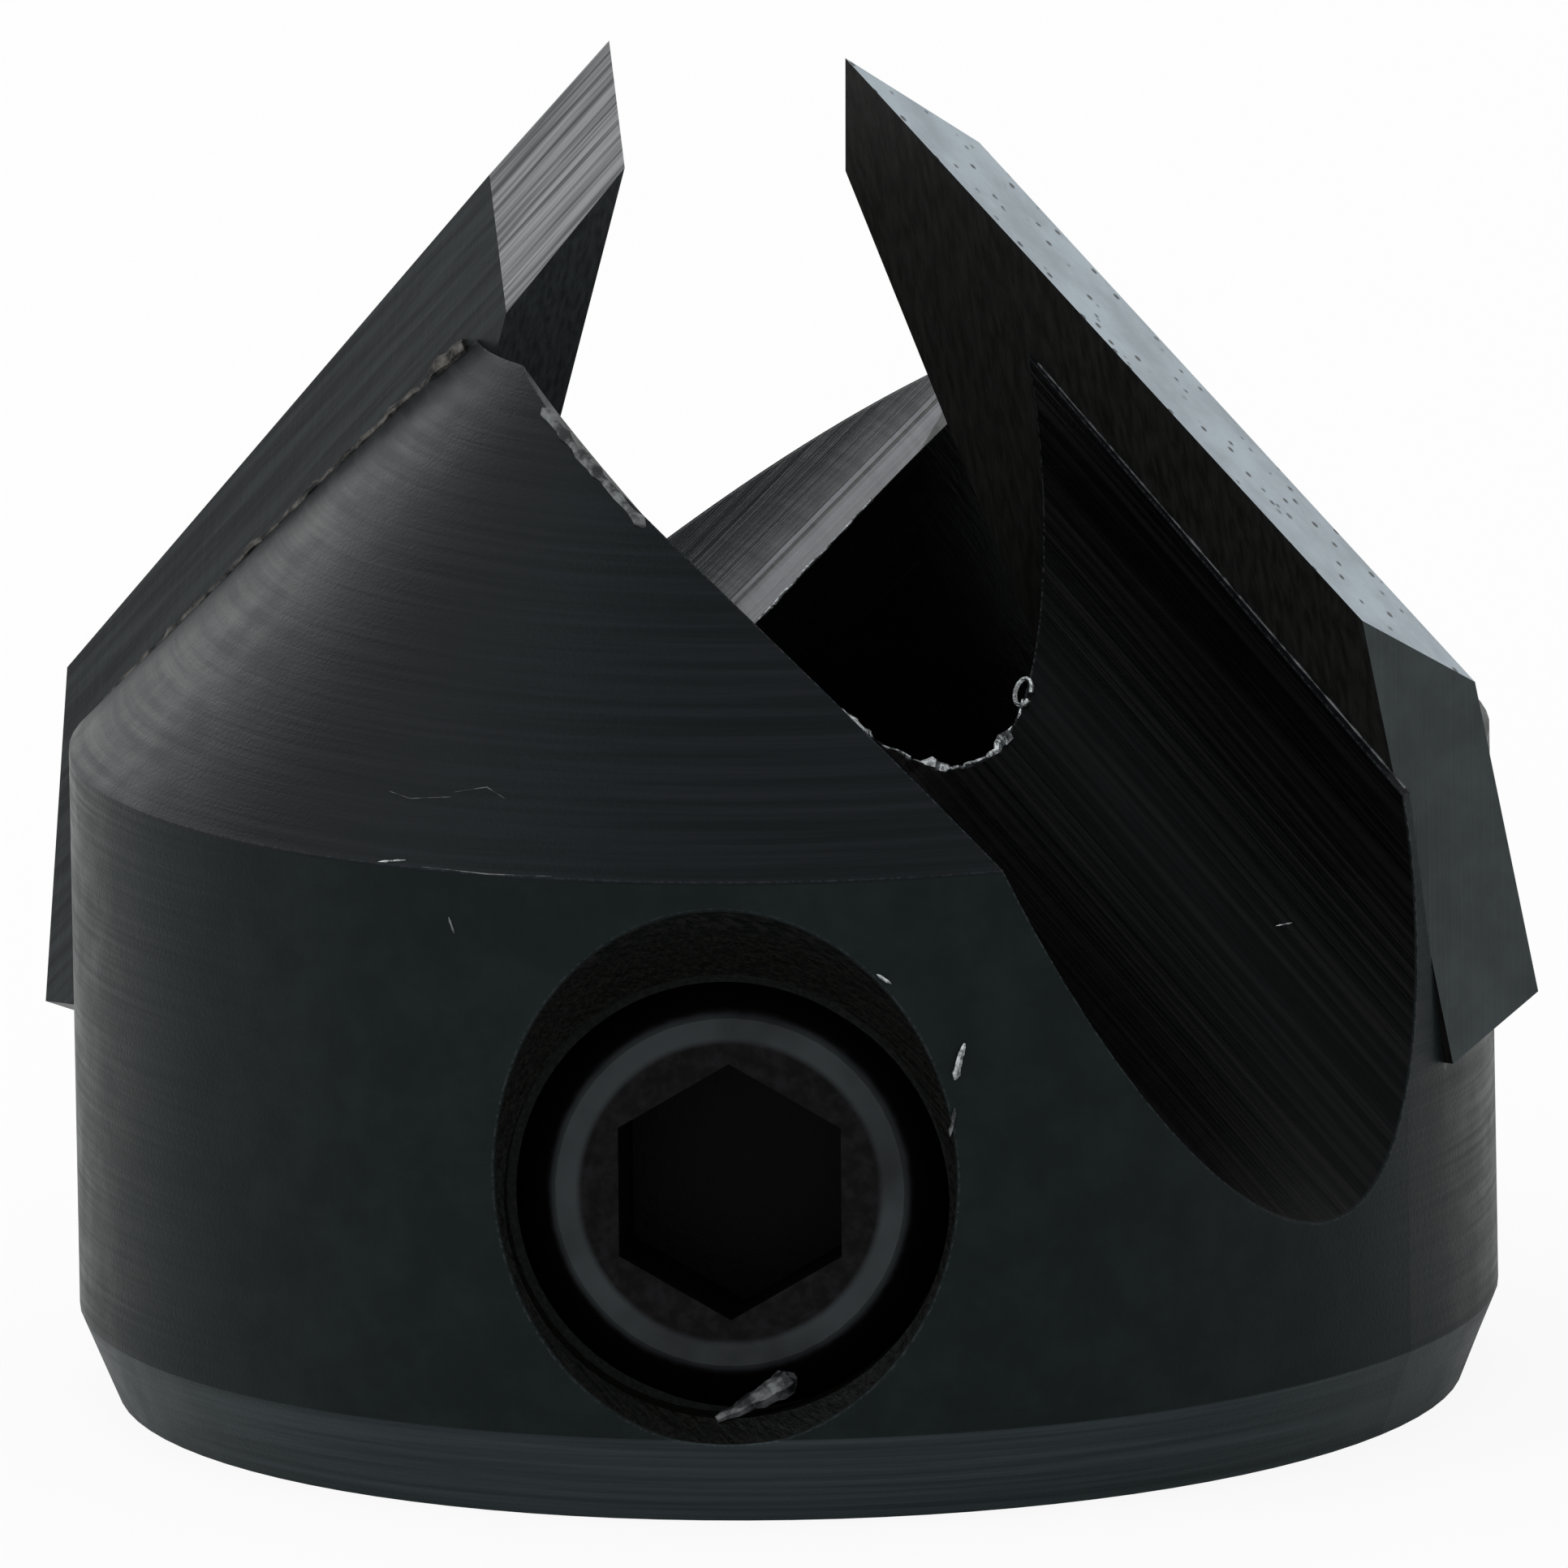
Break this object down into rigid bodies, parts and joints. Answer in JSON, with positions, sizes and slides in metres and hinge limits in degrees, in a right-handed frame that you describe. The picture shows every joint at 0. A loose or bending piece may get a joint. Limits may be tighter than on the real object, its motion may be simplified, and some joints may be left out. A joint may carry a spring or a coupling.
{
  "type": "slip-on countersink",
  "caption": "Round steel collar with a conical nose, clamping bore, chip gullets and brazed carbide countersink inserts.",
  "frame": {"origin": "centre of the bore at the flat base", "axes": "+Z along the bore towards the cutting tips, X along the two cutting edges"},
  "size_m": [0.0203, 0.0192, 0.0184],
  "materials": {
    "blackened_steel": "black oxide over fine turning marks",
    "carbide": "ground tungsten carbide",
    "braze": "dull silver solder",
    "screw_steel": "black oxide"
  },
  "bodies": {
    "root": {"body": "blackened_steel", "insert_front": "carbide", "insert_rear": "carbide", "braze_front": "braze", "braze_rear": "braze", "grub_screw_front": "screw_steel", "grub_screw_rear": "screw_steel"}
  },
  "joints": []
}
